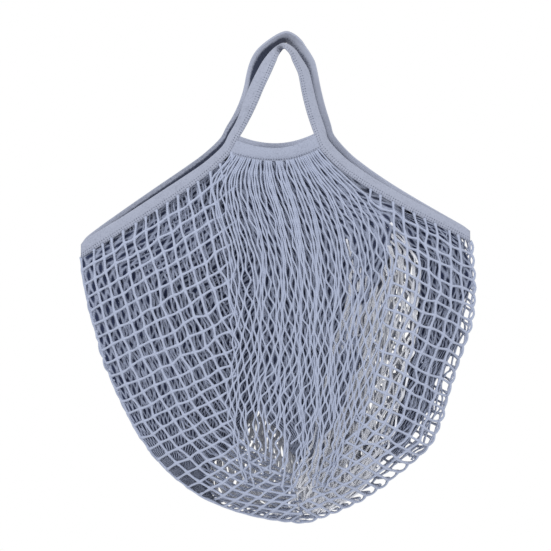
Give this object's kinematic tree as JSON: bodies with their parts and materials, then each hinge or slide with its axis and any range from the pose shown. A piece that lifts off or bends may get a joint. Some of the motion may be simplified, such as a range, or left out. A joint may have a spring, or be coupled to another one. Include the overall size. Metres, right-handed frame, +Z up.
{
  "type": "string shopping bag",
  "caption": "Knitted net shopping bag hanging from its two tape handles: a sagging pouch gathered into a mouth band at front and back, with bound sloping shoulders.",
  "frame": {"origin": "hang point: under the top of the front handle, on the middle plane between the two handles", "axes": "+Z up along the hanging bag, +X to the viewer's right along the mouth, front of the bag towards -Y"},
  "size_m": [0.3938, 0.0928, 0.4904],
  "materials": {
    "net_cord": "soft knitted cotton cord, matt",
    "mouth_band": "knitted cotton band, matt, fine ribs",
    "binding_tape": "knitted cotton binding tape, matt, fine ribs"
  },
  "bodies": {
    "root": {"net_pouch": "net_cord", "front_mouth_band": "mouth_band", "back_mouth_band": "mouth_band", "front_binding_tape": "binding_tape", "back_binding_tape": "binding_tape"}
  },
  "joints": []
}
